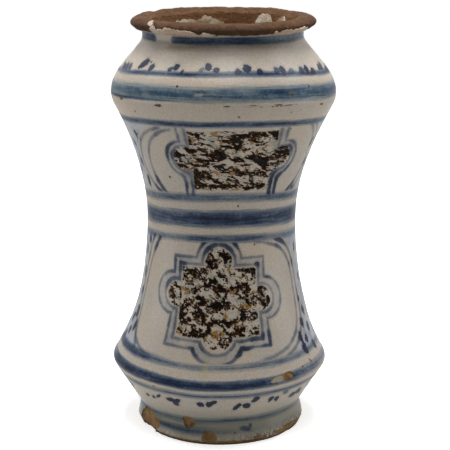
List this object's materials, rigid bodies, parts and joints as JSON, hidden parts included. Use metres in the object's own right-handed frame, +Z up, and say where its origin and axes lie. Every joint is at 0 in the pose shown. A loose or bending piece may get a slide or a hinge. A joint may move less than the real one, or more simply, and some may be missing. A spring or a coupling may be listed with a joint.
{
  "type": "albarello",
  "caption": "Waisted tin-glazed earthenware drug jar with a rounded bare lip, a sharp shoulder and belly edge, a turned foot and blue painted bands and panels.",
  "frame": {"origin": "centre of the foot's rest face", "axes": "+Z up along the axis that the jar was turned on; -Y towards the viewer of the picture; +X to the viewer's right"},
  "size_m": [0.1436, 0.1436, 0.27],
  "materials": {
    "bare_clay": "matt, worn and dusty",
    "painted_tin_glaze": "soft gloss, blue and ochre brushwork under a few pits and stains",
    "lining_glaze": "thin, stained and part matt",
    "flaked_glaze": "broken flakes, cream to pink"
  },
  "bodies": {
    "root": {"clay_body": "bare_clay", "outer_glaze": "painted_tin_glaze", "inner_glaze": "lining_glaze", "lip_flakes": "flaked_glaze"}
  },
  "joints": []
}
